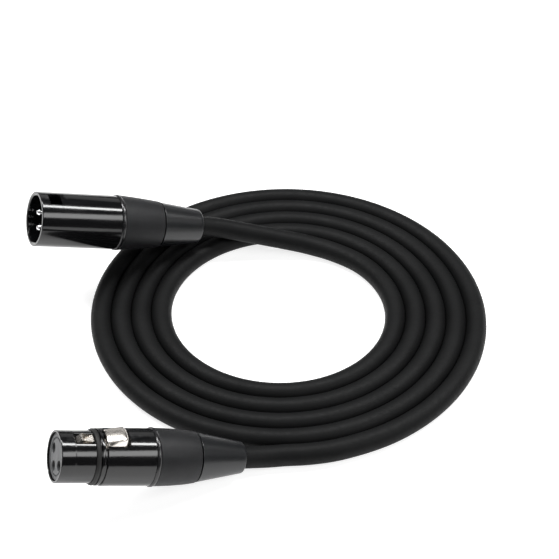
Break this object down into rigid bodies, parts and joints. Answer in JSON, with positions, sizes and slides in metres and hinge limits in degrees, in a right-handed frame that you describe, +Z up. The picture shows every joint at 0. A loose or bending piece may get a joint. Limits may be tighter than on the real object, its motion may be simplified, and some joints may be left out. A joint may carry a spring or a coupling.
{
  "type": "balanced audio cable coil",
  "caption": "Coiled balanced microphone cable with a latching female three-pole plug on one end and a male three-pole plug on the other, lying flat.",
  "frame": {"origin": "centre of the coil on the surface that it lies on", "axes": "+Z up; both plugs point to -X, the female plug on the -Y side"},
  "size_m": [0.1601, 0.1652, 0.0421],
  "materials": {
    "cable_jacket": "matte black PVC jacket with a faint sheen",
    "shell_black": "glossy black-chrome plating",
    "rubber_ring": "matte black rubber",
    "insert_grey": "dark grey moulded plastic",
    "contact_gold": "gold-flashed brass",
    "latch_nickel": "bright nickel plating",
    "pin_steel": "ground steel",
    "spring_steel": "bare spring wire",
    "ring_black": "gloss black plastic",
    "collar_charcoal": "matte charcoal plastic, faintly grained",
    "boot_black": "satin black elastomer",
    "chuck_nylon": "natural grey nylon",
    "wire_shield": "twisted tinned shield wire",
    "wire_red": "red PVC insulation",
    "wire_white": "white PVC insulation",
    "insert_black": "black moulded plastic",
    "pin_silver": "silver-plated pin"
  },
  "bodies": {
    "cable_and_plugs": {"cable_coil": "cable_jacket", "cable_lead_female": "cable_jacket", "cable_lead_male": "cable_jacket", "female_shell": "shell_black", "female_gasket": "rubber_ring", "female_insert": "insert_grey", "female_contact_1": "contact_gold", "female_contact_2": "contact_gold", "female_contact_3": "contact_gold", "female_latch_pin": "pin_steel", "female_latch_spring": "spring_steel", "female_coding_ring": "ring_black", "female_collar": "collar_charcoal", "female_boot": "boot_black", "female_chuck": "chuck_nylon", "female_wire_1": "wire_shield", "female_wire_2": "wire_red", "female_wire_3": "wire_white", "male_shell": "shell_black", "male_insert": "insert_black", "male_pin_1": "pin_silver", "male_pin_2": "pin_silver", "male_pin_3": "pin_silver", "male_coding_ring": "ring_black", "male_collar": "collar_charcoal", "male_boot": "boot_black", "male_chuck": "chuck_nylon", "male_wire_1": "wire_shield", "male_wire_2": "wire_red", "male_wire_3": "wire_white"},
    "latch": {"female_latch": "latch_nickel"}
  },
  "joints": [
    {"name": "latch_press", "type": "hinge", "parent": "cable_and_plugs", "child": "latch", "pos_m": [-0.04249, -0.08099, 0.02053], "axis": [0.2902, -0.9564, -0.0332], "range_deg": [0, 4.5], "stiffness_Nm_per_rad": 0.05, "springref_deg": -1.72, "deforming": ["female_latch_spring"]}
  ]
}
